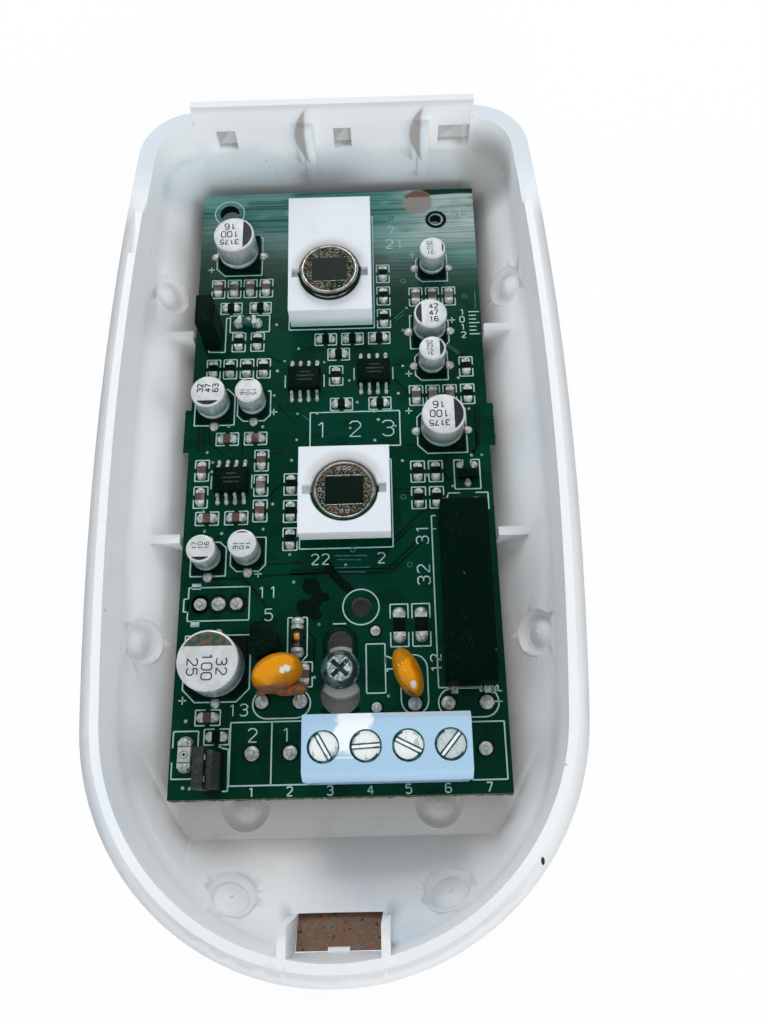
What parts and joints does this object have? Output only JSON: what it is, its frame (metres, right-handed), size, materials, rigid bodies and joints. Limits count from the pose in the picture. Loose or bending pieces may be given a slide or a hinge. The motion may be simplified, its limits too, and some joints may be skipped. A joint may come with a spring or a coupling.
{
  "type": "opened motion detector",
  "caption": "Motion detector with its cover off: rounded tub-shaped rear housing holding a screwed, sliding circuit board with heat sensors, terminal block and components.",
  "frame": {"origin": "middle of the bounding box on the flat back, where the back lies on the wall or the table", "axes": "+X to the right across the board, +Y up along the board towards the tongue end, +Z out of the back towards the missing front cover"},
  "size_m": [0.064, 0.1222, 0.0218],
  "materials": {
    "housing_plastic": "satin moulded, cool white",
    "plated_steel": "bright nickel plate",
    "board_laminate": "dark green solder mask",
    "solder": "bright solder",
    "holder_plastic": "satin moulded white",
    "sensor_metal": "nickel plate",
    "sensor_window": "dark infrared filter",
    "terminal_plastic": "pale blue moulding",
    "can_aluminium": "satin drawn can",
    "black_moulding": "black moulding",
    "tinned_metal": "tin plate",
    "varistor_coating": "orange dipped coating",
    "diode_glass": "clear glass over an amber core",
    "diode_body": "dark teal glaze",
    "ceramic": "brown ceramic",
    "led_plastic": "milky lens and pale body"
  },
  "bodies": {
    "housing": {"rear_housing": "housing_plastic", "board_screw": "plated_steel"},
    "board": {"circuit_board": "board_laminate", "solder_joints": "solder", "sensor_holder_upper": "holder_plastic", "sensor_holder_lower": "holder_plastic", "pyro_can_upper": "sensor_metal", "pyro_can_lower": "sensor_metal", "pyro_window_upper": "sensor_window", "pyro_window_lower": "sensor_window", "terminal_block": "terminal_plastic", "terminal_contacts": "plated_steel", "terminal_screw_1": "plated_steel", "terminal_screw_2": "plated_steel", "terminal_screw_3": "plated_steel", "terminal_screw_4": "plated_steel", "capacitor_can_a": "can_aluminium", "capacitor_can_b": "can_aluminium", "capacitor_can_c": "can_aluminium", "capacitor_can_d": "can_aluminium", "capacitor_can_e": "can_aluminium", "capacitor_can_f": "can_aluminium", "capacitor_can_g": "can_aluminium", "capacitor_can_h": "can_aluminium", "capacitor_can_i": "can_aluminium", "capacitor_can_j": "can_aluminium", "capacitor_base_a": "black_moulding", "capacitor_base_b": "black_moulding", "capacitor_base_c": "black_moulding", "capacitor_base_d": "black_moulding", "capacitor_base_e": "black_moulding", "capacitor_base_f": "black_moulding", "capacitor_base_g": "black_moulding", "capacitor_base_h": "black_moulding", "capacitor_base_i": "black_moulding", "capacitor_base_j": "black_moulding", "capacitor_leads": "tinned_metal", "ic_upper_left": "black_moulding", "ic_upper_right": "black_moulding", "ic_lower_left": "black_moulding", "ic_leads": "tinned_metal", "transistor": "black_moulding", "relay": "black_moulding", "varistor_left": "varistor_coating", "varistor_right": "varistor_coating", "glass_diode": "diode_glass", "small_diode": "diode_body", "small_transistor": "black_moulding", "component_leads": "tinned_metal", "load_resistor_left": "black_moulding", "load_resistor_right": "black_moulding", "chip_resistors": "black_moulding", "chip_capacitors": "ceramic", "chip_ends": "tinned_metal", "status_led": "led_plastic", "jumper_header_upper": "black_moulding", "jumper_header_lower": "black_moulding", "jumper_pins": "tinned_metal", "jumper_shunt_upper": "black_moulding", "jumper_shunt_lower": "black_moulding"}
  },
  "joints": [
    {"name": "board_slide", "type": "slide", "parent": "housing", "child": "board", "axis": [0, 1, 0], "range_m": [-0.00267, 0.00133]}
  ]
}
